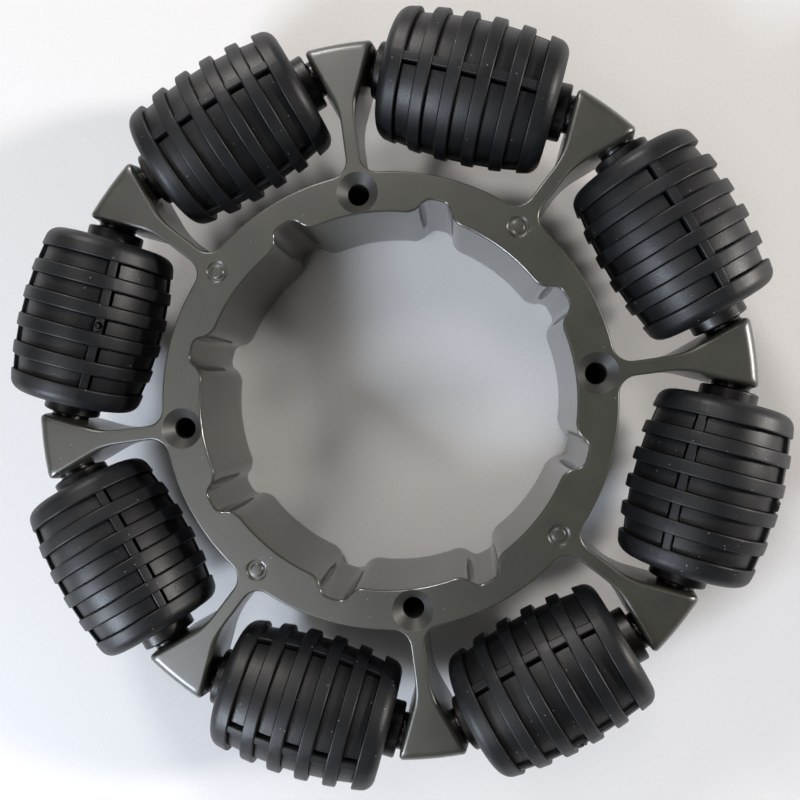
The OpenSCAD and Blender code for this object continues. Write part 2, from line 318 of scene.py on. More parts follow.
# %% Bore outline with its directions
LOBE_R, RUN_R, TIP_A = 2.8, 5.0, math.radians(1.3)
rt, ro, reach = TIP_R - LOBE_R, BORE_R + RUN_R, LOBE_R + RUN_R
TURN_A = TIP_A + math.acos((rt * rt + ro * ro - reach * reach) / (2 * rt * ro))
tip_c = rt * np.array([math.cos(TIP_A), math.sin(TIP_A)])
out_c = ro * np.array([math.cos(TURN_A), math.sin(TURN_A)])
joint = tip_c + LOBE_R / reach * (out_c - tip_c)
a_joint = math.atan2(*(out_c - tip_c)[::-1])


def half_lobe():
    """Points of half a lobe and the land beside it, and the unit directions
    into the metal: outwards from the tip and its corner, towards the centre of
    the run-out, and outwards again on the land."""
    tip = arc((0, 0), TIP_R, 0, TIP_A, 3)[:-1]
    corner = arc(tip_c, LOBE_R, TIP_A, a_joint, 15)[:-1]
    run = arc(out_c, RUN_R, a_joint + math.pi, TURN_A + math.pi, 13)[:-1]
    land = arc((0, 0), BORE_R, TURN_A, HALF, 15)
    points = np.concatenate([tip, corner, run, land])
    into = np.concatenate([tip / TIP_R, (corner - tip_c) / LOBE_R,
                           (out_c - run) / RUN_R, land / BORE_R])
    return points, into


def relief_depth(points, z):
    """Depth of the leaf at each point: how far the point lies inside a circle
    of the cutter's radius. The circle goes into the metal by half an ellipse
    along z, and the edge of the leaf is a smooth maximum."""
    deep, r, lean, soft = 0.45, 1.7, math.radians(46), 0.001
    along = 1 - ((z - LEAF_MID) / LEAF_HALF) ** 2
    if along <= 0:
        return np.zeros(len(points))
    way = np.array([math.cos(lean), math.sin(lean)])
    inside = r - np.hypot(*(points - joint + (r - deep * math.sqrt(along)) * way).T)
    return 0.5 * (inside + np.sqrt(inside ** 2 + soft))


# %% Bore wall, level by level
EDGE_BORE, LEAF_MID, LEAF_HALF, LEAD_Z, LEAD_OUT = 0.5, 26.0, 11.8, 2.2, 0.6
# The foot bevel is marked like the leaves, so it too is made dull and painted near black: a
# painted shadow where the hub meets the paper.
BEVEL_SHADE_MARK = 0.2                         # the bevel is marked as if it were a leaf
lobe_p, lobe_n = half_lobe()
leaf_levels = [*np.linspace(36.5, 15.5, 12), 15.0, 14.6, 14.4, 14.27, 14.21, 14.1]
bore_levels = [HUB_TOP - t for t in TOP_STEPS if t <= EDGE_BORE] + leaf_levels \
    + [10, 5, LEAD_Z] + foot_levels
bore, dull_shade_mark = [], []
for z in bore_levels:
    depth = relief_depth(lobe_p, z)
    step = edge_in(HUB_TOP - z, EDGE_BORE) + edge_in(z, EDGE_BORE) \
        + LEAD_OUT * max(0, 1 - z / LEAD_Z) + depth
    half = lobe_p + lobe_n * step[:, None]
    ring = eight_times(np.concatenate([half[::-1], (half * [1, -1])[1:-1]]), 0.5)
    bore.append(np.column_stack([ring, np.full(len(ring), z)]))
    # 1 in the leaves, by their depth, and on the foot bevel: places made dull and painted near
    # black as painted shade.
    dull_shade_here = np.maximum(depth, BEVEL_SHADE_MARK * (z < LEAD_Z - 0.1))
    dull_shade_mark.append(np.tile(np.concatenate([dull_shade_here[::-1], dull_shade_here[1:-1]]), N))
bore = np.array(bore)
print("bore wall:", bore.shape)

# %% [markdown]
# Three grids make the walls. What is still open lies in three planes: the
# front face, the undersides of the spokes and the back face. Filling every
# open edge with triangles closes the casting.

# %% Join the walls and fill the flat faces
points, faces = join([(g.reshape(-1, 3), grid_faces(*g.shape[:2], wrap_cols=True))
                      for g in (stack, wall, bore)])
hub = raw_mesh("hub", points, faces)
plain = np.zeros(len(points) - np.size(dull_shade_mark))
# The mark goes on as a point attribute: the dull places that are painted near black as painted
# shade.
hub.data.attributes.new("dull_shade_mark", "FLOAT", "POINT").data.foreach_set(
    "value", np.concatenate([plain, np.ravel(dull_shade_mark)]))
bm = bmesh.new()
bm.from_mesh(hub.data)
bmesh.ops.remove_doubles(bm, verts=bm.verts, dist=MERGE * MM)
for z in (HUB_TOP, SPOKE_UNDER, 0.0):
    rim = [e for e in bm.edges if len(e.link_faces) == 1
           and all(abs(v.co.z - z * MM) < 1e-7 for v in e.verts)]
    bmesh.ops.triangle_fill(bm, edges=rim, use_beauty=True, normal=(0, 0, 1))
bmesh.ops.recalc_face_normals(bm, faces=bm.faces)
bm.to_mesh(hub.data)
bm.free()
print("hub, triangles and open edges:", count(hub))

# %% [markdown]
# Holes are made as a machinist makes them: each tool has a profile, and the
# Boolean modifier takes the tool out of the casting. A fixing hole is a drill
# and a countersink. A locating mark is cast, so its rim and its button are
# round. The axles lie in seats that are open to the back of the heads.


# %% Turned shapes
def turned(profile, segments, place):
    """Closed profile of (radius, height) carried round an axis. A point on the
    axis becomes one pole when doubles are merged. place moves the points."""
    a = np.linspace(0, 2 * math.pi, segments, endpoint=False)
    r, h = np.asarray(profile, float).T
    grid = np.stack([r[:, None] * np.cos(a), r[:, None] * np.sin(a),
                     np.repeat(h[:, None], segments, 1)], -1)
    return place(grid.reshape(-1, 3)), grid_faces(len(r), segments, wrap_rows=True, wrap_cols=True)


def at_hub(angle, radius):
    """Moves points from the wheel's axis to a radius and an angle on the hub."""
    def move(p):
        return p + np.array([radius * math.cos(angle), radius * math.sin(angle), 0])
    return move


def at_roller(i, turn=0.0):
    """Moves points from the roller frame to roller i. There z runs along the
    roller's axis and x points away from the wheel's axis; turn is in degrees."""
    def move(p):
        t, a = math.radians(turn), (i + 0.5) * 2 * HALF
        x = p[..., 0] * math.cos(t) + p[..., 1] * math.sin(t)
        y = p[..., 1] * math.cos(t) - p[..., 0] * math.sin(t)
        u, v, w = AXIS_R + x, p[..., 2], AXIS_Z - y
        return np.stack([u * math.cos(a) - v * math.sin(a),
                         u * math.sin(a) + v * math.cos(a), w], -1)
    return move


# %% Tools for the holes
BOLT_R, MARK_R, HOLE_R, CSK_R = 52.75, 54.15, 2.75, 5.2
AXLE_SEAT_R, SEAT_DEEP, SEAT_DOWN = 2.52, 4.7, 14.0
proud = 0.6                              # the tools stand over the face
drill = [(0, -1), (HOLE_R, -1), (HOLE_R, HUB_TOP - (CSK_R - HOLE_R)),
         (CSK_R + proud, HUB_TOP + proud), (0, HUB_TOP + proud)]
mark = [(0, -.14), (1.25, -.14), (1.42, -.17), (1.52, -.26), (1.6, -.42), (1.72, -.49),
        (2.3, -.5), (2.48, -.45), (2.58, -.32), (2.62, -.18), (2.7, -.06), (2.85, .004),
        (3.0, .02), (3.0, .5), (0, .5)]
mark = [(r, HUB_TOP + h) for r, h in mark]


def seat_tool(i, side):
    """A rod as thick as the seat whose lower half goes on down: half a circle
    and two upright sides, carried along the roller's axis."""
    r = AXLE_SEAT_R
    a = np.linspace(math.pi, 2 * math.pi, 25)
    loop = np.concatenate([np.stack([r * np.cos(a), r * np.sin(a)], -1),
                           [[r, SEAT_DOWN], [-r, SEAT_DOWN]]])
    ends = (FLANK_S - 1.0, FLANK_S + SEAT_DEEP)
    grid = np.stack([np.column_stack([loop, np.full(len(loop), side * e)]) for e in ends])
    m = len(loop)
    quads = grid_faces(2, m, wrap_cols=True).tolist()
    return at_roller(i)(grid.reshape(-1, 3)), quads + [list(range(m)), list(range(m, 2 * m))]


holes = [turned(drill, 64, at_hub(k * math.pi / 2, BOLT_R)) for k in range(4)]
holes += [turned(mark, 48, at_hub((k + 0.5) * math.pi / 2, MARK_R)) for k in range(4)]
points, faces = join(holes)
faces = faces.tolist()
for i in range(N):
    for side in (-1, 1):
        p, f = seat_tool(i, side)
        faces += [[c + len(points) for c in loop] for loop in f]
        points = np.concatenate([points, p])
tools = clean(raw_mesh("hole_tools", points, faces))
print("tools, triangles and open edges:", count(tools))

# %% Cut them
cut = hub.modifiers.new("holes", "BOOLEAN")
cut.object, cut.operation, cut.solver = tools, "DIFFERENCE", "MANIFOLD"
done = bpy.data.meshes.new_from_object(hub.evaluated_get(bpy.context.evaluated_depsgraph_get()))
hub.modifiers.clear()
hub.data = done
bpy.data.objects.remove(tools)
hub.data.shade_smooth()
hub.data.set_sharp_from_angle(angle=math.radians(38))
flat = hub.modifiers.new("flat faces stay flat", "WEIGHTED_NORMAL")
flat.keep_sharp, flat.weight = True, 90
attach(hub, "hub")
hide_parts("hub_casting")
print("hub after cutting:", count(hub), "leaf kept:", "dull_shade_mark" in hub.data.attributes)

# %% [markdown]
# A tread is a barrel of rubber with six rings, tied by four bars along it.
# The core shows in the windows between them. On a grid of (place along the
# axis, angle) it is one height: ring, bar or window. Every edge between two of
# these has two grid lines in the same place, one for each side, and the wall
# is the strip between them. Where nothing of the rubber is left, the face and
# the one under it are left out, and the strip becomes the window's wall.

# %% Crown, rings, grooves and shoulders
GROOVE_W, RIB_EDGE, BAR_DROP, SEAT_R = 3.9, 0.42, 0.5, 12.52
SHOULDER_W, SHOULDER_R = 5.39, 3.5
GROOVE_HALF = TREAD_H - SHOULDER_W
PITCH = (GROOVE_HALF - GROOVE_W / 2) / 2
EDGE_STEPS = np.array([0, .03, .09, .18, .3, .42])       # lines over a rounded edge


def crown(s, r=WHEEL_R):
    """Height of the barrel over the roller's axis: the wheel's own circle."""
    return np.sqrt(r * r - s * s) - AXIS_R


def ring_lines(a, b):
    """Lines across one rubber ring from a to b: close together in the rounded
    edges, with their height under the crown."""
    s = np.concatenate([a + EDGE_STEPS, [(a + b) / 2], (b - EDGE_STEPS)[::-1]])
    return s, crown(s) - edge_in(np.minimum(s - a, b - s), RIB_EDGE)


def groove_lines(k):
    """Lines across groove k, with finer ones in the middle groove for the gate."""
    half = GROOVE_W / 2
    fine = [-1.5, -1.4, -1.25, -1, -.9, -.8, -.7, -.4, 0, .4, .7, .8, .9, 1, 1.25, 1.4, 1.5]
    steps = [-half] + (fine if k == 0 else [-.7, .7]) + [half]
    return k * PITCH + np.array(steps)


def shoulder_lines():
    """Half profile of a shoulder from its groove outwards: edge, crown, a round
    corner that touches the crown circle and the end face, then the end face."""
    r = SHOULDER_R
    zc = TREAD_H - r
    xc = math.sqrt((WHEEL_R - r) ** 2 - zc * zc) - AXIS_R
    a0 = math.atan2(xc + AXIS_R, zc)
    touch = WHEEL_R * math.cos(a0)
    s = np.concatenate([GROOVE_HALF + EDGE_STEPS, [GROOVE_HALF + 0.9]])
    s = s[s < touch]
    h = crown(s) - edge_in(s - GROOVE_HALF, RIB_EDGE)
    a = np.linspace(a0, 0, 15)
    return np.concatenate([s, zc + r * np.cos(a)]), np.concatenate([h, xc + r * np.sin(a)])


# %% All lines along the axis
shoulder_s, shoulder_h = shoulder_lines()
stretches = [(-shoulder_s[::-1], shoulder_h[::-1], False)]      # places, heights, is it a groove
for k in range(-2, 3):
    s = groove_lines(k)
    stretches.append((s, crown(s) - BAR_DROP, True))
    if k < 2:
        a, b = k * PITCH + GROOVE_W / 2, (k + 1) * PITCH - GROOVE_W / 2
        stretches.append((*ring_lines(a, b), False))
stretches.append((shoulder_s, shoulder_h, False))
line_s = np.concatenate([s for s, h, groove in stretches])
line_h = np.concatenate([h for s, h, groove in stretches])
line_open = np.concatenate([np.full(len(s), groove) for s, h, groove in stretches])
print("lines along the axis:", len(line_s))

# %% Lines round the roller
BAR_HALF, BAR_EDGE = 1.15, 0.35
OFF_BAR = 9.0                            # stands for any place beside the bars
bar_mm = np.array([-1.15, -1.12, -1.05, -.95, -.85, -.75, -.6, -.4, 0,
                   .4, .6, .75, .85, .95, 1.05, 1.12, 1.15])
BAR_A = math.asin(BAR_HALF / (CROWN_R - BAR_DROP))
bar_angles = np.arcsin(bar_mm / (CROWN_R - BAR_DROP))
window_angles = np.linspace(BAR_A, math.pi / 2 - BAR_A, 15)
quarter = np.concatenate([bar_angles, window_angles])
phi = np.concatenate([q * math.pi / 2 + quarter for q in range(4)])
phi_bar = np.tile(np.arange(len(quarter)) < len(bar_mm), 4)
across = np.tile(np.concatenate([bar_mm, np.full(len(window_angles), OFF_BAR)]), 4)
print("lines round the roller:", len(phi))

# %% Rubber of one tread
RIM_H, RIM_WAVE, RIM_R, PIT_R, PIT_DEEP = 0.38, 0.10, 1.45, 0.95, 1.2


def tread_grid(gate):
    """Heights of the rubber on the grid: the rings' own height where a line
    crosses a ring, the bar's where both lines belong to a bar, else the seat.
    Where the rubber was let into the mould, on the middle of one bar, a torn
    rim stands round a pit."""
    bar = line_h[:, None] - edge_in(BAR_HALF - np.abs(across), BAR_EDGE)[None]
    h = np.where(line_open[:, None], np.where(phi_bar[None], bar, SEAT_R), line_h[:, None])
    turn = np.angle(np.exp(1j * (phi - math.radians(gate))))
    away = np.hypot(line_s[:, None], (CROWN_R - BAR_DROP) * turn[None])
    torn = RIM_WAVE * np.sin(9 * np.arctan2(line_s[:, None], turn[None] * CROWN_R) + 1) + RIM_H
    rim = torn * np.clip((RIM_R - away) / 0.2, 0, 1)
    pit = PIT_DEEP * np.clip((PIT_R - away) / 0.15, 0, 1)
    return np.where(line_open[:, None] & phi_bar[None], h + (rim - pit), h)


def tread_shell(gate):
    """Outer grid, a coarser seat grid under it that keeps the lines of the
    grooves and the ends, and the two end strips, all without the windows."""
    outer_h = tread_grid(gate)
    seat = line_open.copy()
    seat[[0, -1]] = True
    parts = []
    for rows, h in ((np.ones(len(line_s), bool), outer_h),
                    (seat, np.full((seat.sum(), len(phi)), SEAT_R))):
        s, is_open = line_s[rows], line_open[rows]
        one_groove = (np.diff(np.round(s / PITCH)) == 0) & (np.abs(np.diff(s)) < GROOVE_W)
        window = (is_open[:-1] & is_open[1:] & one_groove)[:, None] \
            & (~phi_bar & ~np.roll(phi_bar, -1))[None]
        quads = grid_faces(len(s), len(phi), wrap_cols=True)[~window.ravel()]
        s = np.repeat(s[:, None], len(phi), 1)
        parts.append((np.stack([h * np.cos(phi), h * np.sin(phi), s], -1).reshape(-1, 3), quads))
    points, faces = join(parts)
    first, n_outer = np.arange(len(phi)), outer_h.size
    last_out, last_in = n_outer - len(phi), n_outer + (int(seat.sum()) - 1) * len(phi)
    ends = [np.stack([first + o, np.roll(first, -1) + o, np.roll(first, -1) + u, first + u], -1)
            for o, u in ((0, n_outer), (last_out, last_in))]
    return points, np.concatenate([faces] + ends)


# %% Eight treads
treads = []
for i in range(N):
    points, faces = tread_shell(GATE_TURN[i])
    obj = clean(raw_mesh(f"tyre_{i}", at_roller(i, BAR_TURN[i])(points), faces))
    obj.data.set_sharp_from_angle(angle=math.radians(50))
    obj.modifiers.new("flat faces stay flat", "WEIGHTED_NORMAL").keep_sharp = True
    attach(obj, f"roller_{i}")
    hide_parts(f"tread_{i}")
    treads.append(obj)
print("tread, triangles and open edges:", count(treads[0]))

# %% [markdown]
# The nylon core fills the tread and stands up in its windows as pads, a little
# lower than the bars. In two of the four quarters the pads stop short of the
# bars and leave a dark slot. The same kind of grid makes it: pad or no pad.

# %% Lines of the pads
PAD_DROP, PAD_SIDE, PAD_EDGE, CORE_R = 1.5, 0.06, 0.18, 12.5
BAR_GAP, PAD_CLEAR = 0.75, 0.04          # the dark slot, and a pad that meets its bar
BORE_MIN, MOUTH_R, MOUTH_DEEP = 3.3, 4.5, 9
pad_steps = np.array([0, .02, .07, .18])
core_s, core_h, core_pad = [[-CORE_H]], [[CORE_R]], [[False]]
for k in range(-2, 3):
    a, b = k * PITCH - GROOVE_W / 2 + PAD_SIDE, k * PITCH + GROOVE_W / 2 - PAD_SIDE
    s = np.concatenate([a + pad_steps, [k * PITCH], (b - pad_steps)[::-1]])
    h = crown(s, WHEEL_R - PAD_DROP) - edge_in(np.minimum(s - a, b - s), PAD_EDGE)
    core_s += [[a], s, [b]]
    core_h += [[CORE_R], h, [CORE_R]]
    core_pad += [[False], np.ones(len(s), bool), [False]]
core_s, core_h, core_pad = map(np.concatenate, (core_s + [[CORE_H]], core_h + [[CORE_R]],
                                                core_pad + [[False]]))

core_phi, core_phi_pad, core_phi_in = [], [], []
PAD_R = CROWN_R - PAD_DROP
for q in range(4):
    gap = BAR_GAP if q % 2 else PAD_CLEAR
    lo = q * math.pi / 2 + BAR_A + gap / PAD_R
    hi = (q + 1) * math.pi / 2 - BAR_A - gap / PAD_R
    edge = pad_steps / PAD_R
    a = np.concatenate([lo + edge, np.linspace(lo + 0.08, hi - 0.08, 15), (hi - edge)[::-1]])
    drop = edge_in(np.minimum(a - lo, hi - a) * PAD_R, PAD_EDGE)
    core_phi += [[lo], a, [hi]]
    core_phi_pad += [[False], np.ones(len(a), bool), [False]]
    core_phi_in += [[0], drop, [0]]
core_phi, core_phi_pad, core_phi_in = map(np.concatenate, (core_phi, core_phi_pad, core_phi_in))
print("lines of the core, along and round:", len(core_s), len(core_phi))


# %% Surface of a core
def core_shell():
    """Outer grid of pads over the core's cylinder, then its stepped bore, as
    one closed strip round the axis."""
    pad = core_pad[:, None] & core_phi_pad[None]
    h = np.where(pad, core_h[:, None] - core_phi_in[None], CORE_R)
    step = CORE_H - MOUTH_DEEP
    bore = np.array([(MOUTH_R, CORE_H), (MOUTH_R, step), (BORE_MIN, step),
                     (BORE_MIN, -step), (MOUTH_R, -step), (MOUTH_R, -CORE_H)])
    r = np.concatenate([h, np.repeat(bore[:, :1], h.shape[1], 1)])
    s = np.concatenate([core_s, bore[:, 1]])
    grid = np.stack([r * np.cos(core_phi), r * np.sin(core_phi),
                     np.repeat(s[:, None], h.shape[1], 1)], -1)
    return grid.reshape(-1, 3), grid_faces(len(s), h.shape[1], wrap_rows=True, wrap_cols=True)


# %% Eight cores
cores = []
points, faces = core_shell()
for i in range(N):
    obj = clean(raw_mesh(f"core_body_{i}", at_roller(i, BAR_TURN[i])(points), faces))
    obj.data.set_sharp_from_angle(angle=math.radians(50))
    obj.modifiers.new("flat faces stay flat", "WEIGHTED_NORMAL").keep_sharp = True
    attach(obj, f"roller_{i}")
    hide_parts(f"core_{i}")
    cores.append(obj)
print("core, triangles and open edges:", count(cores[0]))

# %% [markdown]
# Bushes, washers and axles are turned or moulded round: one profile each,
# carried round the roller's axis. The flange of a bush shows in the gap beside
# the head, so its rim is rounded finely.


# %% Rounded profiles
def rounded(corners, radii, steps=5):
    """Profile whose corners are rounded by the given radii: each arc goes from
    a radius before the corner to a radius past it, by 1 less the sine along one
    side and 1 less the cosine along the other, a quarter circle where the
    corner is square."""
    c = np.asarray(corners, float)
    out = []
    for k, r in enumerate(radii):
        p, a, b = c[k], c[k - 1], c[(k + 1) % len(c)]
        if r == 0:
            out.append(p[None])
            continue
        u, v = (a - p) / np.linalg.norm(a - p), (b - p) / np.linalg.norm(b - p)
        w = np.linspace(0, math.pi / 2, steps + 1)[:, None]
        out.append(p + r * u * (1 - np.sin(w)) + r * v * (1 - np.cos(w)))
    return np.concatenate(out)


# %% Profiles of bush, washer and axle
AXLE_R, AXLE_END = 2.5, FLANK_S + 4.6
BUSH_R, FLANGE_R, WASHER_R, WASHER_T = 2.55, 7.1, 4.7, 1
BUSH = rounded([(BUSH_R, CORE_H - MOUTH_DEEP), (MOUTH_R, CORE_H - MOUTH_DEEP),
                (MOUTH_R, CORE_H + .01), (FLANGE_R, CORE_H + .01),
                (FLANGE_R, FLANGE_S), (BUSH_R, FLANGE_S)], [.2, .2, 0, .2, .55, .3])
WASHER = rounded([(AXLE_SEAT_R, FLANK_S - WASHER_T), (WASHER_R, FLANK_S - WASHER_T),
                  (WASHER_R, FLANK_S), (AXLE_SEAT_R, FLANK_S)], [.1, .15, .15, .1], 3)
AXLE = rounded([(0, -AXLE_END), (AXLE_R, -AXLE_END), (AXLE_R, AXLE_END), (0, AXLE_END)],
               [0, .4, .4, 0], 3)
print("points of each profile:", len(BUSH), len(WASHER), len(AXLE))

# %% Bushes, washers and axles in place
bushes, washers, axles = [], [], []
for i in range(N):
    for side, letter in ((-1, "a"), (1, "b")):
        flip = [1, side]
        points, faces = turned(BUSH * flip, 72, at_roller(i, BAR_TURN[i]))
        obj = clean(raw_mesh(f"flanged_bush_{letter}_{i}", points, faces))
        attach(obj, f"roller_{i}")
        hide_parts(f"bush_{letter}_{i}")
        bushes.append(obj)
        points, faces = turned(WASHER * flip, 72, at_roller(i))
        obj = clean(raw_mesh(f"thrust_washer_{letter}_{i}", points, faces))
        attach(obj, "hub")
        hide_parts(f"washer_{letter}_{i}")
        washers.append(obj)
    obj = clean(raw_mesh(f"axle_pin_{i}", *turned(AXLE, 64, at_roller(i))))
    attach(obj, "hub")
    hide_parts(f"axle_{i}")
    axles.append(obj)
for obj in bushes + washers + axles:
    obj.data.set_sharp_from_angle(angle=math.radians(40))
    obj.modifiers.new("flat faces stay flat", "WEIGHTED_NORMAL").keep_sharp = True
print("bush, washer, axle:", count(bushes[0]), count(washers[0]), count(axles[0]))

# %% [markdown]
# Materials are small graphs of nodes. One function adds a node, sets it, links
# its inputs and gives back an output, so a graph reads as a chain of values.
# Another turns a colour as written on a colour chart into the linear values
# that light is worked out in. All patterns read Object coordinates, here in
# millimetres, so a noise of scale 2 has features of about half a millimetre.


# %% Material helpers
def colour(code, alpha=1.0):
    """Linear colour from an sRGB hex code: values over 0.04045 are raised to
    the power 2.4 after an offset, smaller ones are divided by 12.92."""
    c = np.array([int(code[k:k + 2], 16) / 255 for k in (0, 2, 4)])
    c = np.where(c > 0.04045, ((c + 0.055) / 1.055) ** 2.4, c / 12.92)
    return (*c.tolist(), alpha)


def node(tree, kind, settings=None, out=0, **inputs):
    """Adds a node and returns one of its outputs. Settings are its own values;
    inputs are values or links, by socket name, or by i and the socket's number."""
    n = tree.nodes.new(kind)
    for key, value in (settings or {}).items():
        setattr(n, key, value)
    for key, value in inputs.items():
        by_number = key[0] == "i" and key[1:].isdigit()
        socket = n.inputs[int(key[1:]) if by_number else key.replace("_", " ")]
        if isinstance(value, bpy.types.NodeSocket):
            tree.links.new(value, socket)
        else:
            socket.default_value = value
    return n.outputs[out] if n.outputs else n


def material(name):
    """New material: its graph, and Object coordinates in millimetres."""
    m = bpy.data.materials.new(name)
    m.use_nodes = True
    m.node_tree.nodes.clear()
    tree = m.node_tree
    where = node(tree, "ShaderNodeTexCoord", out=3)
    return m, tree, node(tree, "ShaderNodeVectorMath", {"operation": "SCALE"},
                         i0=where, Scale=1 / MM)


# %% [markdown]
# Dust lies on all of it. A Voronoi pattern scatters points 1.1 mm apart
# through space, a speck is a ball of 0.15 mm round a few of them, and what the
# surface cuts of a ball is what shows. Most specks are grey, a few are ochre.


# %% Dust
def dusty(tree, at, tone, share):
    """Tone with specks of dust on a share of the scattered points. Each point
    has a random colour: its red picks the points, its green the ochre ones."""
    away = node(tree, "ShaderNodeTexVoronoi", Vector=at, Scale=1 / 1.1)
    first = node(tree, "ShaderNodeSeparateColor", Color=away.node.outputs["Color"])
    second = first.node.outputs[1]
    speck = node(tree, "ShaderNodeMapRange", Value=away,
                 From_Min=0.07, From_Max=0.16, To_Min=0.6, To_Max=0.0)
    chosen = node(tree, "ShaderNodeMath", {"operation": "LESS_THAN"}, i0=first, i1=share)
    chosen = node(tree, "ShaderNodeMath", {"operation": "MULTIPLY"}, i0=speck, i1=chosen)
    ochre = node(tree, "ShaderNodeMath", {"operation": "LESS_THAN"}, i0=second, i1=0.25)
    dust = node(tree, "ShaderNodeMix", {"data_type": "RGBA"}, out=2, i0=ochre,
                i6=colour("bdbbb5"), i7=colour("a8854a"))
    return node(tree, "ShaderNodeMix", {"data_type": "RGBA"}, out=2, i0=chosen, i6=tone, i7=dust)


# %% [markdown]
# The casting is an aluminium alloy under a thin satin enamel, a warm olive
# grey that is nearly black. Enamel is a dielectric: from above it shows its own
# colour, and along a wall, as in the bore, it mirrors the paper. It isn't the
# same all over. The wall of the bore was cleaned up first and is smoother; its
# leaves and the bevel at its foot are dull, and painted near black as painted
# shade, for the shaded paper the leaves mirror and the shadow at the foot. An
# attribute says where they are. In the countersinks the enamel lies thin and
# dry, and they are painted darker as painted shade. Each of these places is a
# number that is 1 there and 0 elsewhere.

# %% Places on the hub
cast, t, at = material("cast_aluminium_satin_enamel")
# Leaves and foot bevel: dull, and painted near black as painted shade.
dull_shade_value = node(t, "ShaderNodeAttribute", {"attribute_name": "dull_shade_mark"}, out=2)
in_dull_shade = node(t, "ShaderNodeMapRange", Value=dull_shade_value, From_Min=0.03, From_Max=0.15)
flat_at = node(t, "ShaderNodeVectorMath", {"operation": "MULTIPLY"}, i0=at, i1=(1, 1, 0))
radius = node(t, "ShaderNodeVectorMath", {"operation": "LENGTH"}, out=1, i0=flat_at)
height = node(t, "ShaderNodeSeparateXYZ", out=2, Vector=at)
below = node(t, "ShaderNodeMath", {"operation": "LESS_THAN"}, i0=height, i1=HUB_TOP - 0.03)
in_bore = node(t, "ShaderNodeMath", {"operation": "LESS_THAN"}, i0=radius, i1=TIP_R + 0.6)
in_bore = node(t, "ShaderNodeMath", {"operation": "MULTIPLY"}, i0=in_bore, i1=below)
# the four fixing holes, folded onto one on the x axis and one on the y axis
folded = node(t, "ShaderNodeVectorMath", {"operation": "ABSOLUTE"}, i0=flat_at)
to_x = node(t, "ShaderNodeVectorMath", {"operation": "DISTANCE"}, out=1,
            i0=folded, i1=(BOLT_R, 0, 0))
to_y = node(t, "ShaderNodeVectorMath", {"operation": "DISTANCE"}, out=1,
            i0=folded, i1=(0, BOLT_R, 0))
to_hole = node(t, "ShaderNodeMath", {"operation": "MINIMUM"}, i0=to_x, i1=to_y)
# The countersinks: thin dry enamel, and painted darker as painted shade.
in_dry_shaded_sink = node(t, "ShaderNodeMath", {"operation": "LESS_THAN"}, i0=to_hole, i1=CSK_R)
in_dry_shaded_sink = node(t, "ShaderNodeMath", {"operation": "MULTIPLY"}, i0=in_dry_shaded_sink, i1=below)
print("nodes that say where:", len(t.nodes))

# %% [markdown]
# Enamel is sprayed, so its tone flows a little at 9 mm, and it dries with an
# orange peel of 0.45 mm, in its roughness and as a faint bump. A coat on the
# shader gives it the last sheen.

# %% Enamel of the hub
flow = node(t, "ShaderNodeTexNoise", Vector=at, Scale=1 / 9, Detail=4.0)
flow = node(t, "ShaderNodeMapRange", Value=flow, From_Min=0.3, From_Max=0.7)
peel = node(t, "ShaderNodeTexNoise", Vector=at, Scale=1 / 0.45, Detail=2.0)
tone = node(t, "ShaderNodeMix", {"data_type": "RGBA"}, out=2, i0=flow,
            i6=colour("2d2e27"), i7=colour("37382f"))
tone = dusty(t, at, tone, 0.03)
# Painted shade: the leaves and the foot bevel are near black, for the shaded paper the leaves
# mirror and the shadow at the foot.
tone = node(t, "ShaderNodeMix", {"data_type": "RGBA"}, out=2, i0=in_dull_shade,
            i6=tone, i7=colour("161613"))
# Painted shade: the countersinks are darker than the face round them.
tone = node(t, "ShaderNodeMix", {"data_type": "RGBA"}, out=2, i0=in_dry_shaded_sink,
            i6=tone, i7=colour("24241f"))
rough = node(t, "ShaderNodeMapRange", Value=peel,
             From_Min=0.3, From_Max=0.7, To_Min=0.35, To_Max=0.43)
for place, its_rough in ((in_bore, 0.16), (in_dull_shade, 0.5), (in_dry_shaded_sink, 0.55)):
    rough = node(t, "ShaderNodeMix", i0=place, i2=rough, i3=its_rough)
coat = node(t, "ShaderNodeMapRange", Value=in_dry_shaded_sink, To_Min=0.7, To_Max=0.1)
bump = node(t, "ShaderNodeBump", Strength=0.12, Distance=0.00012, Height=peel)
shader = node(t, "ShaderNodeBsdfPrincipled", Base_Color=tone, Roughness=rough, IOR=1.5,
              Specular_IOR_Level=1.0, Coat_Weight=coat, Coat_Roughness=0.34, Normal=bump)
node(t, "ShaderNodeOutputMaterial", Surface=shader)
print(cast.name, "nodes:", len(t.nodes))

# %% [markdown]
# The tyres are black rubber, moulded in a blasted mould: a soft sheen that
# breaks up into grains where light grazes it. The real grain of 0.1 mm is too
# fine to show, so it is drawn at 0.4 mm.

# %% Rubber of the treads
rubber, t, at = material("moulded_black_rubber")
cloud = node(t, "ShaderNodeTexNoise", Vector=at, Scale=1 / 6, Detail=3.0)
cloud = node(t, "ShaderNodeMapRange", Value=cloud, From_Min=0.3, From_Max=0.7)
grain = node(t, "ShaderNodeTexNoise", Vector=at, Scale=1 / 0.4, Detail=2.0)
tone = node(t, "ShaderNodeMix", {"data_type": "RGBA"}, out=2, i0=cloud,
            i6=colour("0c0e11"), i7=colour("111419"))
tone = dusty(t, at, tone, 0.08)
rough = node(t, "ShaderNodeMapRange", Value=cloud, To_Min=0.43, To_Max=0.51)
bump = node(t, "ShaderNodeBump", Strength=0.35, Distance=0.0001, Height=grain)
shader = node(t, "ShaderNodeBsdfPrincipled", Base_Color=tone, Roughness=rough, IOR=1.5,
              Specular_IOR_Level=0.5, Normal=bump)
node(t, "ShaderNodeOutputMaterial", Surface=shader)
print(rubber.name, "nodes:", len(t.nodes))

# %% [markdown]
# The cores are nylon filled with glass fibre: black and a little shinier than
# the rubber, with fibres that lie close to the surface and roughen it. They
# too are drawn coarser than they are.

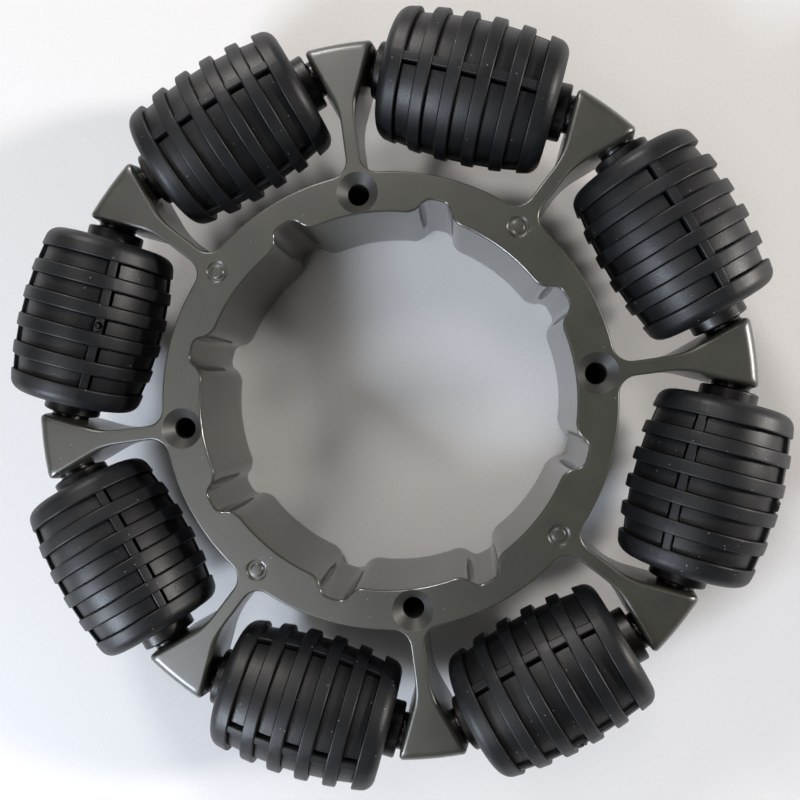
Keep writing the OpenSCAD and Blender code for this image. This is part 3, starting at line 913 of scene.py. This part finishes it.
# %% Nylon of the cores
nylon, t, at = material("glass_filled_nylon")
grain = node(t, "ShaderNodeTexNoise", Vector=at, Scale=1 / 0.3, Detail=3.0)
cloud = node(t, "ShaderNodeTexNoise", Vector=at, Scale=1 / 4, Detail=2.0)
tone = node(t, "ShaderNodeMix", {"data_type": "RGBA"}, out=2, i0=cloud,
            i6=colour("0a0b0e"), i7=colour("101216"))
tone = dusty(t, at, tone, 0.08)
rough = node(t, "ShaderNodeMapRange", Value=grain,
             From_Min=0.3, From_Max=0.7, To_Min=0.38, To_Max=0.50)
bump = node(t, "ShaderNodeBump", Strength=0.5, Distance=0.0001, Height=grain)
shader = node(t, "ShaderNodeBsdfPrincipled", Base_Color=tone, Roughness=rough, IOR=1.53,
              Normal=bump)
node(t, "ShaderNodeOutputMaterial", Surface=shader)
print(nylon.name, "nodes:", len(t.nodes))

# %% [markdown]
# The bushes are moulded acetal: black with a waxy half gloss.

# %% Acetal of the bushes
acetal, t, at = material("moulded_acetal")
grain = node(t, "ShaderNodeTexNoise", Vector=at, Scale=1 / 0.4, Detail=2.0)
rough = node(t, "ShaderNodeMapRange", Value=grain,
             From_Min=0.3, From_Max=0.7, To_Min=0.32, To_Max=0.44)
bump = node(t, "ShaderNodeBump", Strength=0.3, Distance=0.0001, Height=grain)
tone = dusty(t, at, colour("151414"), 0.05)
shader = node(t, "ShaderNodeBsdfPrincipled", Base_Color=tone, Roughness=rough, IOR=1.48,
              Normal=bump)
node(t, "ShaderNodeOutputMaterial", Surface=shader)
print(acetal.name, "nodes:", len(t.nodes))

# %% [markdown]
# Axles are bright steel from the lathe, and washers are the same steel with a
# darker base colour. A metal has no colour under its shine, so both are metallic
# throughout, and their roughness varies as their scratches do.

# %% Steel of axles and washers
steels = []
for name, dark, pale in (("turned_steel", "8d8c88", "a5a4a0"),
                         ("darker_steel", "2c2c2d", "4a4a4a")):
    steel, t, at = material(name)
    scratch = node(t, "ShaderNodeTexNoise", Vector=at, Scale=1 / 0.5, Detail=3.0)
    rough = node(t, "ShaderNodeMapRange", Value=scratch,
                 From_Min=0.3, From_Max=0.7, To_Min=0.2, To_Max=0.4)
    tone = node(t, "ShaderNodeMix", {"data_type": "RGBA"}, out=2, i0=scratch,
                i6=colour(dark), i7=colour(pale))
    shader = node(t, "ShaderNodeBsdfPrincipled", Base_Color=tone, Roughness=rough, Metallic=1.0)
    node(t, "ShaderNodeOutputMaterial", Surface=shader)
    steels.append(steel)

# %% A finish on every piece
finishes = (([hub], cast), (treads, rubber), (cores, nylon), (bushes, acetal),
            (axles, steels[0]), (washers, steels[1]))
for pieces, finish in finishes:
    for piece in pieces:
        piece.data.materials.clear()
        piece.data.materials.append(finish)
print("materials:", [m.name for m in bpy.data.materials])

# %% [markdown]
# A sheet of pale paper is the floor. It isn't part of the wheel.

# %% Floor
HALF_SHEET = 1500
matt, t, at = material("matt_paper")
fibres = node(t, "ShaderNodeTexNoise", Vector=at, Scale=1 / 0.8, Detail=4.0)
bump = node(t, "ShaderNodeBump", Strength=0.15, Distance=0.0002, Height=fibres)
tone = node(t, "ShaderNodeMix", {"data_type": "RGBA"}, out=2, i0=fibres,
            i6=colour("e2e1e1"), i7=colour("efefef"))
shader = node(t, "ShaderNodeBsdfPrincipled", Base_Color=tone, Roughness=0.9, Normal=bump)
node(t, "ShaderNodeOutputMaterial", Surface=shader)
corners = HALF_SHEET * np.array([[-1, -1, 0], [1, -1, 0], [1, 1, 0], [-1, 1, 0]], float)
paper = raw_mesh("paper", corners, [[0, 1, 2, 3]])
paper.data.materials.append(matt)

# %% [markdown]
# Soft windows light the wheel: a cool one at the left, steep enough to put the
# left wall's shadow halfway across the bore, and warmer ones behind and at the
# right, lower. Each window goes on upwards as a dimmer pane, a soft round patch
# of the sky, which the hub's face mirrors towards the eye. The room fills the
# shadows a little, with its walls brighter than its ceiling. Colours are shown
# as they are, with no film curve over them.


# %% Lamps
def toward(azimuth, height):
    """Unit vector to an azimuth and a height in degrees: the cosine of the
    height is shared between x and y by the azimuth, and its sine is z."""
    a, h = math.radians(azimuth), math.radians(height)
    return np.array([math.cos(h) * math.cos(a), math.cos(h) * math.sin(a), math.sin(h)])


def window(name, azimuth, height, distance, power, tint):
    """Square area lamp that looks at the wheel's middle from an azimuth and a
    height in degrees, at a distance in metres."""
    data = bpy.data.lights.new(name, "AREA")
    data.shape, data.size, data.energy, data.color = "SQUARE", 0.16, power, colour(tint)[:3]
    obj = bpy.data.objects.new(name, data)
    bpy.context.scene.collection.objects.link(obj)
    obj.location = distance * toward(azimuth, height)
    obj.rotation_euler = [math.radians(a) for a in (90 - height, 0, azimuth + 90)]


window("left_window", 216, 35, 0.7, 3.85, "e6f0ff")
window("back_window", 103, 33, 0.9, 3.25, "fffaf5")
window("right_window", 2, 25.6, 1.4, 13.5, "fff8f2")

# %% Room
world = bpy.data.worlds.new("room")
bpy.context.scene.world = world
world.use_nodes = True
t = world.node_tree
t.nodes.clear()
way = node(t, "ShaderNodeTexCoord")
height = node(t, "ShaderNodeSeparateXYZ", out=2, Vector=way)
room = node(t, "ShaderNodeMapRange", Value=height,
            From_Min=0.0, From_Max=0.6, To_Min=0.38, To_Max=0.03)
# azimuth, height and half width of each pane in degrees, and its strength
panes = ((188, 67, 17, 1.6), (102, 56, 12, 5.6), (230, 56, 11, 3.2))
for azimuth, elevation, spread, strength in panes:
    near = node(t, "ShaderNodeVectorMath", {"operation": "DOT_PRODUCT"}, out=1,
                i0=way, i1=toward(azimuth, elevation))
    pane = node(t, "ShaderNodeMapRange", {"interpolation_type": "SMOOTHSTEP"}, Value=near,
                From_Min=math.cos(math.radians(spread)), From_Max=1.0, To_Max=strength)
    room = node(t, "ShaderNodeMath", {"operation": "ADD"}, i0=room, i1=pane)
sky = node(t, "ShaderNodeBackground", Color=colour("fbf7f2"), Strength=room)
node(t, "ShaderNodeOutputWorld", Surface=sky)
bpy.context.scene.view_settings.view_transform = "Standard"
print("nodes of the room:", len(t.nodes))
